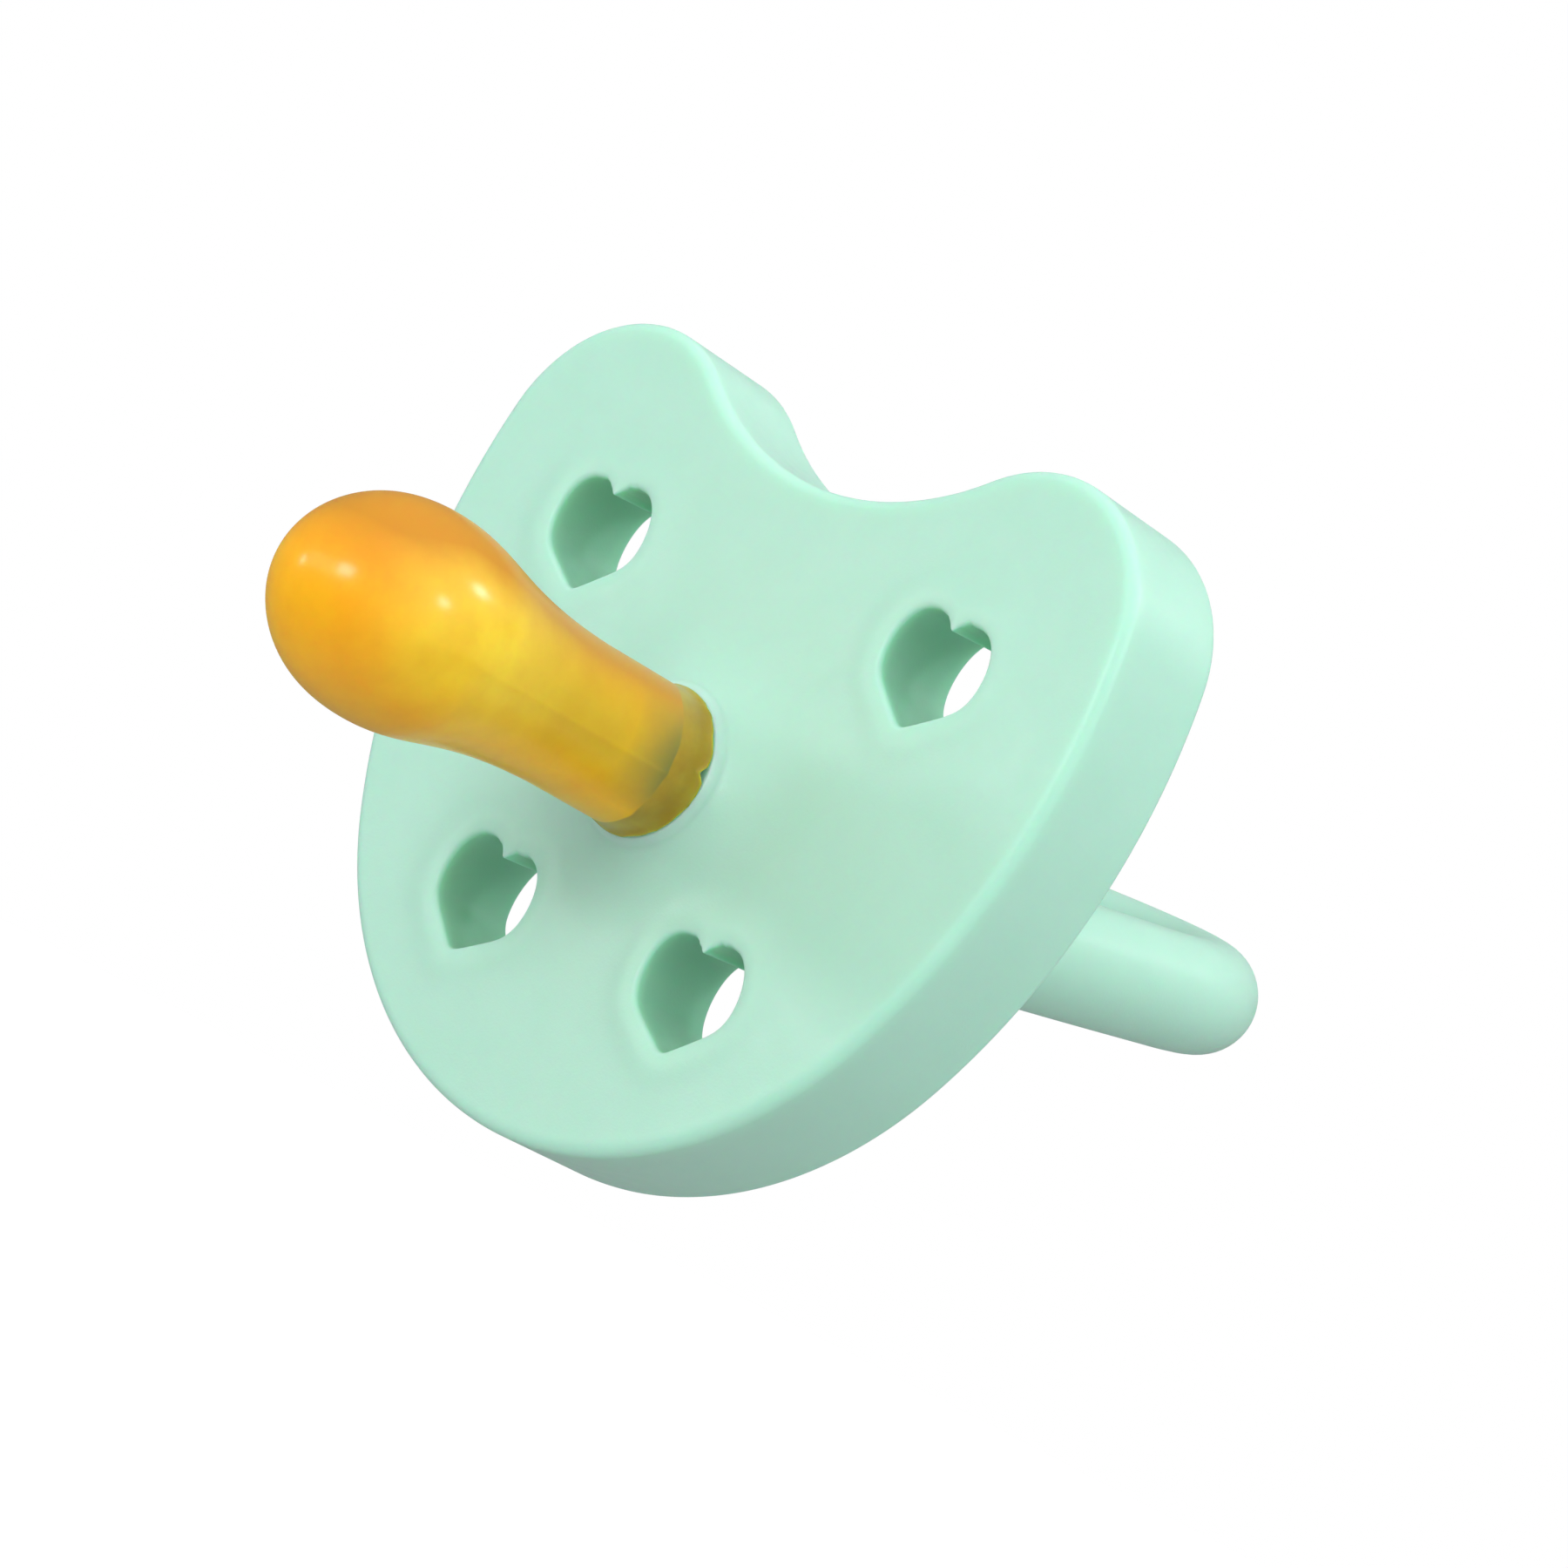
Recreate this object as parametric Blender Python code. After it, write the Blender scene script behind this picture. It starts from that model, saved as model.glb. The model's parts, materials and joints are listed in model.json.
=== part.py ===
"""Soft-rubber pacifier: butterfly shield, hollow latex teat and loop handle.

Frame: the origin is on the teat's axis, in the flat floor of the shield's hollowed back.
-Y points along the teat towards the baby, +Y towards the handle, +Z to the nose notch.
The teat bends on the stub that holds it, and the handle folds on its two rounded feet.
"""

import math

import bmesh
import bpy
from mathutils import Matrix, Vector

MM = 0.001

# Shield: one slab whose outline is a chain of tangent arcs, seen from the front.
RIM_THICK = 8.0 * MM              # the slab's thickness at its rim
HOLLOW_DEPTH = 1.2 * MM           # the back is this much lower inside the rim
HOLLOW_RIM = 3.0 * MM             # width of the rim that stands proud of the hollow
HOLLOW_SLOPE = 1.5 * MM           # width of the bank between the rim and the hollow's floor
NOTCH_FLOOR = 17.2 * MM           # height of the nose notch above the teat's axis
NOTCH_RADIUS = 18.4 * MM
NOTCH_ANGLE = math.radians(36.7)  # half of the notch arc
LOBE_RADIUS = 8.5 * MM
LOBE_END = math.radians(10.0)     # direction in which the lobe arc hands over to the side arc
SIDE_RADIUS = 37.8 * MM
CHIN_RADIUS = 23.3 * MM
SIDE_DRAFT = 0.3 * MM             # the back outline is this much smaller all round
FRONT_EDGE = 0.7 * MM             # radius of the rim's front edge
BACK_EDGE = 0.8 * MM
ARC_STEPS = 14
EDGE_STEPS = 3

# Heart vents, through the slab, drafted so that they open towards the back.
HEART_LOBE_RADIUS = 1.8 * MM
HEART_LOBE_CENTRE = (1.6 * MM, 1.45 * MM)
HEART_SIDE_RADIUS = 4.0 * MM
HEART_SIDE_ARC = math.radians(25.0)  # the full side runs this far above and below level
HEART_TIP = -3.35 * MM
HEART_BACK_SCALE = 1.3
HEART_ARC_STEPS = 8
HEART_OVERRUN = 1.5 * MM          # how far the cutters run past both faces
UPPER_HEART = (13.8 * MM, 10.3 * MM, math.radians(6.0))   # across, up, outward lean
LOWER_HEART = (8.5 * MM, -10.3 * MM, math.radians(-5.0))

# Boss: the soft rise of the front face around the foot of the teat.
BOSS_RADIUS = 9.5 * MM
BOSS_TOP_RADIUS = 4.4 * MM
BOSS_HEIGHT = 1.4 * MM
BOSS_ROOT = 1.0 * MM              # how deep the added boss is rooted in the slab
BOSS_LIFT = 0.02 * MM             # its rim stands this proud, so no two faces are coplanar
BOSS_STEPS = 6

# Teat, measured forward from the shield's front face.
NECK_RADIUS = 4.15 * MM
BULB_RADIUS = 5.8 * MM
BULB_REAR = 21.1 * MM             # centre of the bulb's rear sphere
BULB_FRONT = 24.1 * MM            # centre of the bulb's front sphere
FLARE_RADIUS = 36.0 * MM          # hollow curve from the neck to the bulb
TEAT_WALL = 0.9 * MM
FLEX_AHEAD = 2.9 * MM             # the teat bends about this point ahead of the front face
SPLIT_RIM = 3.0 * MM              # the neck is split on a sphere, this far ahead of that point
ROUND_STEPS = 40
FLARE_STEPS = 10
BULB_STEPS = 3
TIP_STEPS = 10

# Stub of the shield's rubber that plugs the neck and sits in a blind socket.
STUB_RADIUS = 2.85 * MM
STUB_SHANK_RADIUS = 2.2 * MM
STUB_DEPTH = 4.0 * MM             # how far the shank goes into the shield
NOSE_STEPS = 6

# Loop handle: a tube bent to a D whose two feet are spheres in sockets in the back.
TUBE_RADIUS = 3.3 * MM
LEG_SPACING = 21.3 * MM           # between the legs' centre lines
LEG_LENGTH = 23.5 * MM            # from the feet's centres to the centre of the end bend
FOOT_BEHIND = 1.1 * MM            # the feet's centres are this far behind the hollow's floor
FOOT_HEIGHT = -1.15 * MM
SEAT_GAP = 0.45 * MM              # clearance between a foot and its seat
HANDLE_LEAN = math.radians(9.0)   # the loop leans up towards the notch at rest
TUBE_SIDES = 20
FOOT_STEPS = 4
SEAT_STEPS = 12
BEND_STEPS = 22

GAP = 0.3 * MM                    # clearance between pieces that touch
RIM_Y = HOLLOW_DEPTH
FRONT_Y = RIM_Y - RIM_THICK
FLEX_Y = FRONT_Y - FLEX_AHEAD
SPLIT_RADIUS = math.hypot(NECK_RADIUS, SPLIT_RIM)


def clear_scene():
    """Remove every object of the open file."""
    for item in list(bpy.data.objects):
        bpy.data.objects.remove(item, do_unlink=True)


def rubber(name, colour, roughness, alpha=1.0):
    """A plain rubber or latex finish."""
    material = bpy.data.materials.new(name)
    material.use_nodes = True
    shader = material.node_tree.nodes["Principled BSDF"]
    shader.inputs["Base Color"].default_value = (*colour, 1.0)
    shader.inputs["Roughness"].default_value = roughness
    shader.inputs["Metallic"].default_value = 0.0
    shader.inputs["Alpha"].default_value = alpha
    return material


def make_object(name, mesh_builder, material=None, smooth_angle=math.radians(35.0)):
    """Turn a bmesh into a named object with outward faces and soft shading."""
    bmesh.ops.recalc_face_normals(mesh_builder, faces=mesh_builder.faces)
    mesh = bpy.data.meshes.new(name)
    mesh_builder.to_mesh(mesh)
    mesh_builder.free()
    mesh.shade_smooth()
    mesh.set_sharp_from_angle(angle=smooth_angle)
    item = bpy.data.objects.new(name, mesh)
    bpy.context.collection.objects.link(item)
    if material:
        mesh.materials.append(material)
    return item


def combine(target, tool, operation):
    """Cut, or add, a hidden helper solid and keep the result live."""
    tool.display_type = "WIRE"
    tool.hide_render = True
    modifier = target.modifiers.new(tool.name, "BOOLEAN")
    modifier.operation = operation
    modifier.solver = "EXACT"
    modifier.object = tool


def arc(centre, radius, start, end, steps):
    """Points and outward normals on an arc, without its first point."""
    found = []
    for step in range(1, steps + 1):
        angle = start + (end - start) * step / steps
        normal = Vector((math.cos(angle), math.sin(angle)))
        found.append((centre + radius * normal, normal))
    return found


def stack_rings(mesh_builder, rings):
    """Skin closed loops of points, in order, and cap both ends."""
    loops = [[mesh_builder.verts.new(point) for point in ring] for ring in rings]
    for near, far in zip(loops, loops[1:]):
        for index in range(len(near)):
            following = (index + 1) % len(near)
            mesh_builder.faces.new((near[index], near[following], far[following], far[index]))
    mesh_builder.faces.new(loops[0])
    mesh_builder.faces.new(loops[-1])


def turned(name, profile, material=None, steps=ROUND_STEPS, closed=True):
    """Spin a profile of (radius, y) about the Y axis; an open one starts and ends on it."""
    mesh_builder = bmesh.new()
    verts = [mesh_builder.verts.new((radius, y, 0.0)) for radius, y in profile]
    pairs = list(zip(verts, verts[1:]))
    if closed:
        pairs.append((verts[-1], verts[0]))
    edges = [mesh_builder.edges.new(pair) for pair in pairs]
    bmesh.ops.spin(
        mesh_builder,
        geom=verts + edges,
        cent=(0.0, 0.0, 0.0),
        axis=(0.0, 1.0, 0.0),
        angle=2.0 * math.pi,
        steps=steps,
        use_merge=True,
    )
    bmesh.ops.remove_doubles(mesh_builder, verts=mesh_builder.verts, dist=0.001 * MM)
    return make_object(name, mesh_builder, material)


def sphere_arc(radius, start, end, steps):
    """Profile points (radius, y) on a sphere; the angle runs from -Y towards the rim."""
    angles = [start + (end - start) * step / steps for step in range(steps + 1)]
    return [(radius * math.sin(angle), -radius * math.cos(angle)) for angle in angles]


def shield_outline():
    """The closed front outline as (point, outward normal) pairs in X and Z."""
    notch = Vector((0.0, NOTCH_FLOOR + NOTCH_RADIUS))
    reach = Vector((math.sin(NOTCH_ANGLE), -math.cos(NOTCH_ANGLE)))
    lobe = notch + (NOTCH_RADIUS + LOBE_RADIUS) * reach
    side = lobe - (SIDE_RADIUS - LOBE_RADIUS) * Vector((math.cos(LOBE_END), math.sin(LOBE_END)))
    chin_start = -math.acos(-side.x / (SIDE_RADIUS - CHIN_RADIUS))
    towards_chin = Vector((math.cos(chin_start), math.sin(chin_start)))
    chin = side + (SIDE_RADIUS - CHIN_RADIUS) * towards_chin
    down = -0.5 * math.pi
    notch_half = arc(notch, NOTCH_RADIUS, down, down + NOTCH_ANGLE, ARC_STEPS // 2)
    half = [(point, -normal) for point, normal in notch_half]
    half += arc(lobe, LOBE_RADIUS, 0.5 * math.pi + NOTCH_ANGLE, LOBE_END, ARC_STEPS)
    half += arc(side, SIDE_RADIUS, LOBE_END, chin_start, ARC_STEPS)
    half += arc(chin, CHIN_RADIUS, chin_start, down, ARC_STEPS)
    mirrored = [(Vector((-p.x, p.y)), Vector((-n.x, n.y))) for p, n in reversed(half[:-1])]
    floor = (Vector((0.0, NOTCH_FLOOR)), Vector((0.0, 1.0)))
    return half + mirrored + [floor]


def outline_rings(levels):
    """The outline at each (inset, y) level, as loops of points."""
    outline = shield_outline()
    rings = []
    for inset, y in levels:
        corners = [point - inset * normal for point, normal in outline]
        rings.append([(corner.x, y, corner.y) for corner in corners])
    return rings


def shield_slab():
    """The slab with its rounded edges and drafted side wall."""
    levels = []
    for step in range(EDGE_STEPS + 1):
        angle = 0.5 * math.pi * step / EDGE_STEPS
        inset = FRONT_EDGE * (1.0 - math.sin(angle))
        levels.append((inset, FRONT_Y + FRONT_EDGE * (1.0 - math.cos(angle))))
    for step in range(EDGE_STEPS + 1):
        angle = 0.5 * math.pi * (1.0 - step / EDGE_STEPS)
        inset = SIDE_DRAFT + BACK_EDGE * (1.0 - math.sin(angle))
        levels.append((inset, RIM_Y - BACK_EDGE * (1.0 - math.cos(angle))))
    mesh_builder = bmesh.new()
    stack_rings(mesh_builder, outline_rings(levels))
    return make_object("shield", mesh_builder, rubber("mint rubber", (0.48, 0.79, 0.66), 0.5))


def back_hollow():
    """The shallow hollow of the back, with a sloping bank inside the rim."""
    bank = HOLLOW_SLOPE / HOLLOW_DEPTH
    proud = 0.4 * MM
    mesh_builder = bmesh.new()
    levels = [(HOLLOW_RIM - bank * proud, RIM_Y + proud), (HOLLOW_RIM + HOLLOW_SLOPE, 0.0)]
    stack_rings(mesh_builder, outline_rings(levels))
    return make_object("back_hollow", mesh_builder)


def heart_outline():
    """A heart about its own centre: round lobes, full sides and a pointed tip."""
    lobe = Vector(HEART_LOBE_CENTRE)
    shoulder = Vector((math.cos(HEART_SIDE_ARC), math.sin(HEART_SIDE_ARC)))
    side = lobe - (HEART_SIDE_RADIUS - HEART_LOBE_RADIUS) * shoulder
    cleft = math.acos(-lobe.x / HEART_LOBE_RADIUS)
    half = arc(lobe, HEART_LOBE_RADIUS, cleft, HEART_SIDE_ARC, HEART_ARC_STEPS)
    half += arc(side, HEART_SIDE_RADIUS, HEART_SIDE_ARC, -HEART_SIDE_ARC, HEART_ARC_STEPS)
    right = [point for point, _ in half]
    left = [Vector((-point.x, point.y)) for point in reversed(right)]
    top = Vector((0.0, lobe.y + HEART_LOBE_RADIUS * math.sin(cleft)))
    return [top] + right + [Vector((0.0, HEART_TIP))] + left


def heart_cutter(name, place, side):
    """A drafted heart prism through the slab; side is +1 or -1 for the two wings."""
    across, up, lean = place
    slope = (HEART_BACK_SCALE - 1.0) / RIM_THICK
    turn = Matrix.Rotation(-lean * side, 2)
    rings = []
    for y in (FRONT_Y - HEART_OVERRUN, RIM_Y + HEART_OVERRUN):
        scale = 1.0 + slope * (y - FRONT_Y)
        ring = []
        for point in heart_outline():
            spot = turn @ (point * scale)
            ring.append((spot.x + side * across, y, spot.y + up))
        rings.append(ring)
    mesh_builder = bmesh.new()
    stack_rings(mesh_builder, rings)
    return make_object(name, mesh_builder)


def boss_solid():
    """The rise around the teat's foot: steep at the neck, fading into the face."""
    root = FRONT_Y + BOSS_ROOT
    rim = FRONT_Y - BOSS_LIFT
    profile = [(0.0, root), (BOSS_RADIUS, root)]
    for step in range(BOSS_STEPS + 1):
        amount = step / BOSS_STEPS
        radius = BOSS_RADIUS + (BOSS_TOP_RADIUS - BOSS_RADIUS) * amount
        profile.append((radius, rim - BOSS_HEIGHT * amount ** 2))
    profile.append((0.0, rim - BOSS_HEIGHT))
    return turned("boss", profile, closed=False)


def foot_centre(side):
    """Place of one foot's centre, on the handle's folding axis."""
    return Vector((side * 0.5 * LEG_SPACING, FOOT_BEHIND, FOOT_HEIGHT))


def socket_cutter(name, side):
    """A ball-shaped seat in the back of the shield for one foot of the handle."""
    profile = sphere_arc(TUBE_RADIUS + SEAT_GAP, 0.0, math.pi, SEAT_STEPS)
    cutter = turned(name, profile, steps=2 * SEAT_STEPS, closed=False)
    cutter.location = foot_centre(side)
    return cutter


def stub_seat():
    """The blind bore in the boss that takes the stub's shank."""
    radius = STUB_SHANK_RADIUS + GAP
    floor = FRONT_Y + STUB_DEPTH + GAP
    mouth = FRONT_Y - 2.0 * BOSS_HEIGHT
    profile = [(0.0, mouth), (radius, mouth), (radius, floor), (0.0, floor)]
    return turned("stub_seat", profile, closed=False)


def build_shield():
    """Slab, hollow back, boss, four heart vents, two foot seats and the stub's bore."""
    shield = shield_slab()
    combine(shield, back_hollow(), "DIFFERENCE")
    combine(shield, boss_solid(), "UNION")
    combine(shield, stub_seat(), "DIFFERENCE")
    for side, label in ((-1, "left"), (1, "right")):
        combine(shield, heart_cutter(f"upper_heart_{label}", UPPER_HEART, side), "DIFFERENCE")
        combine(shield, heart_cutter(f"lower_heart_{label}", LOWER_HEART, side), "DIFFERENCE")
        combine(shield, socket_cutter(f"foot_seat_{label}", side), "DIFFERENCE")


def build_stub():
    """The plug in the neck: a round-nosed head on a shank, its nose on the split sphere."""
    nose = SPLIT_RADIUS - 0.5 * GAP
    rim = math.asin(STUB_RADIUS / nose)
    foot = FRONT_Y - BOSS_HEIGHT - GAP - FLEX_Y
    tail = FRONT_Y + STUB_DEPTH - FLEX_Y
    profile = sphere_arc(nose, 0.0, rim, NOSE_STEPS)
    profile += [(STUB_RADIUS, foot), (STUB_SHANK_RADIUS, foot)]
    profile += [(STUB_SHANK_RADIUS, tail), (0.0, tail)]
    finish = rubber("stub rubber", (0.40, 0.66, 0.50), 0.5)
    stub = turned("neck_stub", profile, finish, closed=False)
    stub.location = (0.0, FLEX_Y, 0.0)


def build_collar():
    """The foot of the teat's neck, bonded round the stub."""
    nose = SPLIT_RADIUS - 0.5 * GAP
    inner = STUB_RADIUS + GAP
    foot = FRONT_Y - BOSS_HEIGHT - GAP - FLEX_Y
    inner_angle = math.asin(inner / nose)
    outer_angle = math.asin(NECK_RADIUS / nose)
    profile = sphere_arc(nose, inner_angle, outer_angle, NOSE_STEPS // 2)
    profile += [(NECK_RADIUS, foot), (inner, foot)]
    collar = turned("neck_collar", profile, rubber("root latex", (0.42, 0.31, 0.06), 0.35))
    collar.location = (0.0, FLEX_Y, 0.0)


def teat_skin(offset, start):
    """Outside of the teat, moved inwards by offset, from the neck to the tip, about FLEX_Y."""
    neck = NECK_RADIUS - offset
    bulb = BULB_RADIUS - offset
    flare = FLARE_RADIUS + offset
    rise = math.sqrt((bulb + flare) ** 2 - (neck + flare) ** 2)
    rear = FLEX_AHEAD - BULB_REAR
    front = FLEX_AHEAD - BULB_FRONT
    turn = math.atan2(rise, neck + flare)
    profile = [(neck, start)]
    for step in range(FLARE_STEPS + 1):
        angle = turn * step / FLARE_STEPS
        radius = neck + flare - flare * math.cos(angle)
        profile.append((radius, rear + rise - flare * math.sin(angle)))
    for step in range(1, BULB_STEPS + 1):
        angle = turn * (1.0 - step / BULB_STEPS)
        profile.append((bulb * math.cos(angle), rear + bulb * math.sin(angle)))
    for step in range(TIP_STEPS + 1):
        angle = 0.5 * math.pi * step / TIP_STEPS
        profile.append((bulb * math.cos(angle), front - bulb * math.sin(angle)))
    return profile


def build_teat():
    """The hollow neck and bulb, open at the rear where it meets the stub's nose."""
    cup = SPLIT_RADIUS + 0.5 * GAP
    inner = NECK_RADIUS - TEAT_WALL
    outer_start = -math.sqrt(cup ** 2 - NECK_RADIUS ** 2)
    inner_start = -math.sqrt(cup ** 2 - inner ** 2)
    profile = teat_skin(0.0, outer_start)
    profile += reversed(teat_skin(TEAT_WALL, inner_start))
    teat = turned("teat", profile, rubber("latex", (0.80, 0.45, 0.04), 0.25, 0.9))
    teat.location = (0.0, FLEX_Y, 0.0)


def handle_path():
    """Centre, direction and tube radius along the D, in the handle's own X-Y plane."""
    half = 0.5 * LEG_SPACING
    outwards = Vector((0.0, 1.0, 0.0))
    stations = []
    for step in range(1, FOOT_STEPS + 1):
        angle = 0.5 * math.pi * step / FOOT_STEPS
        spot = Vector((half, -TUBE_RADIUS * math.cos(angle), 0.0))
        stations.append((spot, outwards, TUBE_RADIUS * math.sin(angle)))
    for step in range(1, BEND_STEPS // 2):
        spot = Vector((half, LEG_LENGTH * step / (BEND_STEPS // 2), 0.0))
        stations.append((spot, outwards, TUBE_RADIUS))
    for step in range(BEND_STEPS // 2 + 1):
        angle = math.pi * step / BEND_STEPS
        spot = Vector((half * math.cos(angle), LEG_LENGTH + half * math.sin(angle), 0.0))
        way = Vector((-math.sin(angle), math.cos(angle), 0.0))
        stations.append((spot, way, TUBE_RADIUS))
    mirrored = []
    for spot, way, radius in reversed(stations[:-1]):
        mirrored.append((Vector((-spot.x, spot.y, 0.0)), Vector((way.x, -way.y, 0.0)), radius))
    return stations + mirrored


def build_handle():
    """The loop, with its origin on the folding axis midway between its feet."""
    mesh_builder = bmesh.new()
    up = Vector((0.0, 0.0, 1.0))
    loops = []
    for spot, way, radius in handle_path():
        across = way.cross(up)
        ring = []
        for side in range(TUBE_SIDES):
            angle = 2.0 * math.pi * side / TUBE_SIDES
            ring.append(spot + radius * (math.cos(angle) * across + math.sin(angle) * up))
        loops.append(ring)
    stack_rings(mesh_builder, loops)
    finish = rubber("handle rubber", (0.50, 0.80, 0.68), 0.5)
    handle = make_object("handle_loop", mesh_builder, finish)
    handle.location = (0.0, FOOT_BEHIND, FOOT_HEIGHT)
    handle.rotation_euler = (HANDLE_LEAN, 0.0, 0.0)


clear_scene()
build_shield()
build_stub()
build_collar()
build_teat()
build_handle()
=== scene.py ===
"""Looks of a soft-rubber pacifier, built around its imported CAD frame.

Lengths are in metres in the row frame: -Y runs along the teat towards the baby, +Y towards
the loop handle and +Z to the nose notch. Angles around the teat are measured in the X-Z
plane, from +X towards +Z. Meshes are gathered as rings of points, and the two broad faces
of the shield are triangulated between those rings as height fields over X and Z.
"""

import json
import math

import bmesh
import bpy
import numpy as np
from mathutils import Matrix, Vector, geometry, noise


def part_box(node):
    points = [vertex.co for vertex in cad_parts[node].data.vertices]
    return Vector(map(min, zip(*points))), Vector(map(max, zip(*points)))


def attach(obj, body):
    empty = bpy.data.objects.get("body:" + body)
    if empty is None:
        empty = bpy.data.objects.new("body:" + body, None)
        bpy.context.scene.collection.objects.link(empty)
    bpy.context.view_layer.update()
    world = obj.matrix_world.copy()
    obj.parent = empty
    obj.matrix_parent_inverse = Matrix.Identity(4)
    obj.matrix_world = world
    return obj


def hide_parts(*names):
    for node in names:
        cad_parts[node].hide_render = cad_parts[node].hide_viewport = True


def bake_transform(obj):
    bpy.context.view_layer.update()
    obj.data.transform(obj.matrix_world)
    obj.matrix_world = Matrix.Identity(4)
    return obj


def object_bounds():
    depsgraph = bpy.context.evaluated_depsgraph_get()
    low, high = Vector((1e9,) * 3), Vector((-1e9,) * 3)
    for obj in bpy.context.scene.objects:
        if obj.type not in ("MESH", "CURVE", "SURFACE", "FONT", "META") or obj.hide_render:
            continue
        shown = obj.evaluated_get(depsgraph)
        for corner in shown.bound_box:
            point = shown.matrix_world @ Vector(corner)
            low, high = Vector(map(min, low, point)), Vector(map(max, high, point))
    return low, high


MM = 0.001

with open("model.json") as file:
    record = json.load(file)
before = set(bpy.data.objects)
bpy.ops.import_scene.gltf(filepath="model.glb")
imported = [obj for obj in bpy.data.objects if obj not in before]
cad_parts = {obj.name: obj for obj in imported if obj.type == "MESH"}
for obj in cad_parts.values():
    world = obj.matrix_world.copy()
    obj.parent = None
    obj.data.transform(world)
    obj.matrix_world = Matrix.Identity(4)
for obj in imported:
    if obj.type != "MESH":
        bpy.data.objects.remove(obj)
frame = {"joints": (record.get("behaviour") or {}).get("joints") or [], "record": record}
cad_low, cad_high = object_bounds()
record = frame["record"]
joints = {joint["name"]: joint for joint in frame["joints"]}
mounts = {mount["name"]: mount for mount in record["mounts"]}

# Places read from the frame.
FRONT_Y = mounts["shield_front"]["pos_m"][1]
FLOOR_Y = mounts["shield_back"]["pos_m"][1]
BOSS_TOP_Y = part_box("shield")[0].y
RIM_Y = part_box("shield")[1].y
FOLD = Vector(joints["handle_fold"]["pos_m"])
NECK_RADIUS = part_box("neck_collar")[1].x
BULB_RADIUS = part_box("teat")[1].x
TIP_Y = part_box("teat")[0].y
CORE_NOSE_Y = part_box("neck_stub")[0].y
HANDLE_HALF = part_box("handle_loop")[1].x
HANDLE_END_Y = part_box("handle_loop")[1].y

# Shield: its outline is a chain of tangent arcs, from the notch over a lobe to the chin.
NOTCH_FLOOR = 17.2 * MM
NOTCH_RADIUS = 18.4 * MM
NOTCH_ANGLE = math.radians(36.7)
LOBE_RADIUS = 8.5 * MM
LOBE_END = math.radians(10.0)
SIDE_RADIUS = 37.8 * MM
CHIN_RADIUS = 23.3 * MM
OUTLINE_STEP = 0.45 * MM
SIDE_DRAFT = 0.05 * MM
FRONT_EDGE = 0.7 * MM
BACK_EDGE = 0.75 * MM
HOLLOW_RIM = 3.0 * MM
HOLLOW_SLOPE = 1.5 * MM
FACE_GRID = 0.8 * MM
FACE_REACH = (27.0 * MM, 26.0 * MM)
EDGE_STEPS = 7
WALL_STEPS = 10

# Heart vents. A heart's place is (across, up, lean), mirrored to both sides. A nick is
# (place, width, depth): two shares of the heart's length and a share of the tearing noise.
HEART_LOBE_RADIUS = 1.8 * MM
HEART_LOBE_CENTRE = (1.6 * MM, 1.45 * MM)
HEART_SIDE_RADIUS = 4.0 * MM
HEART_SIDE_ARC = math.radians(25.0)
HEART_TIP = -3.35 * MM
HEART_BACK_SCALE = 1.22
HEART_POINTS = 150
HEART_EASE = 0.7
HEART_EASING = 26
HEART_LIP = 0.32 * MM
HEART_BACK_LIP = 0.45 * MM
UPPER_HEART = (13.5 * MM, 10.25 * MM, math.radians(3.0))
LOWER_HEART = (8.5 * MM, -10.3 * MM, math.radians(-5.0))
NICKS = ((0.06, 0.04, 0.4), (0.955, 0.03, 0.3))
VENT_LIP_STEPS = 5
VENT_WALL_STEPS = 9
VENT_BACK_STEPS = 4
MOUTH_OUTSETS = (0.22 * MM, 0.5 * MM, 0.85 * MM, 1.25 * MM, 1.7 * MM)
SWELL_HEIGHT = 0.13 * MM
SWELL_MIDDLE = 0.9 * MM
SWELL_WIDTH = 0.9 * MM

# Boss with a low seat under the latex, and teat. The skirt is the latex over the stub's
# foot; its curl is given as (share of its height, share of its flare).
BOSS_RADIUS = 9.5 * MM
BOSS_TOP_RADIUS = 4.4 * MM
BOSS_MARGIN = 0.6 * MM
BOSS_RING_STEP = 0.32 * MM
SEAT_RADIUS = 4.42 * MM
SEAT_SLOPE = 0.4 * MM
SEAT_RISE = 0.28 * MM
BULB_FULLNESS = 1.035
PROFILE_POINTS = 110
PROFILE_EASING = 60
MOULD_RIDGE = 0.06 * MM
MOULD_ANGLES = (math.radians(-6.0), math.radians(174.0))
BULB_NOSE = 6.9 * MM
BULB_MIDDLE = 1.9 * MM
FLARE_RADIUS = 36.0 * MM
TEAT_WALL = 0.9 * MM
TEAT_SIDES = 120
CORE_BAND = 1.7 * MM
CORE_RADIUS = 3.1 * MM
CORE_SHOULDER = 0.5 * MM
SKIRT_WALL = 0.22 * MM
SKIRT_HEIGHT = 1.3 * MM
SKIRT_FLARE = 0.22 * MM
SKIRT_CURL = ((0.0, 1.0), (0.1, 0.8), (0.25, 0.5), (0.45, 0.22), (0.7, 0.06))

# The ragged foot of the latex: its lift off the boss, waves and fray in millimetres, and
# deeper notches as (angle in radians, width, depth in millimetres).
FOOT_LIFT = 0.38
FOOT_WAVE = 0.16
FOOT_FRAY = 0.13
FOOT_NOTCHES = ((0.10, 0.07, 0.55), (2.4, 0.10, 0.35), (4.3, 0.08, 0.3))

# Handle. Depths run outwards from the folding axis, and the rings ease from level at the roots
# to square across the tube between two of them.
TUBE_RADIUS = 3.3 * MM
TUBE_BELLY = 0.07 * MM
HANDLE_LEAN = math.radians(9.0)
ROOT_DEPTH = -1.3 * MM
ROOT_FILLET = 1.6 * MM
ROOT_FLARE = 0.8
ROOT_LEVEL = 0.3 * MM
ROOT_EASE = 4.0 * MM
TUBE_SIDES = 56
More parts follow.
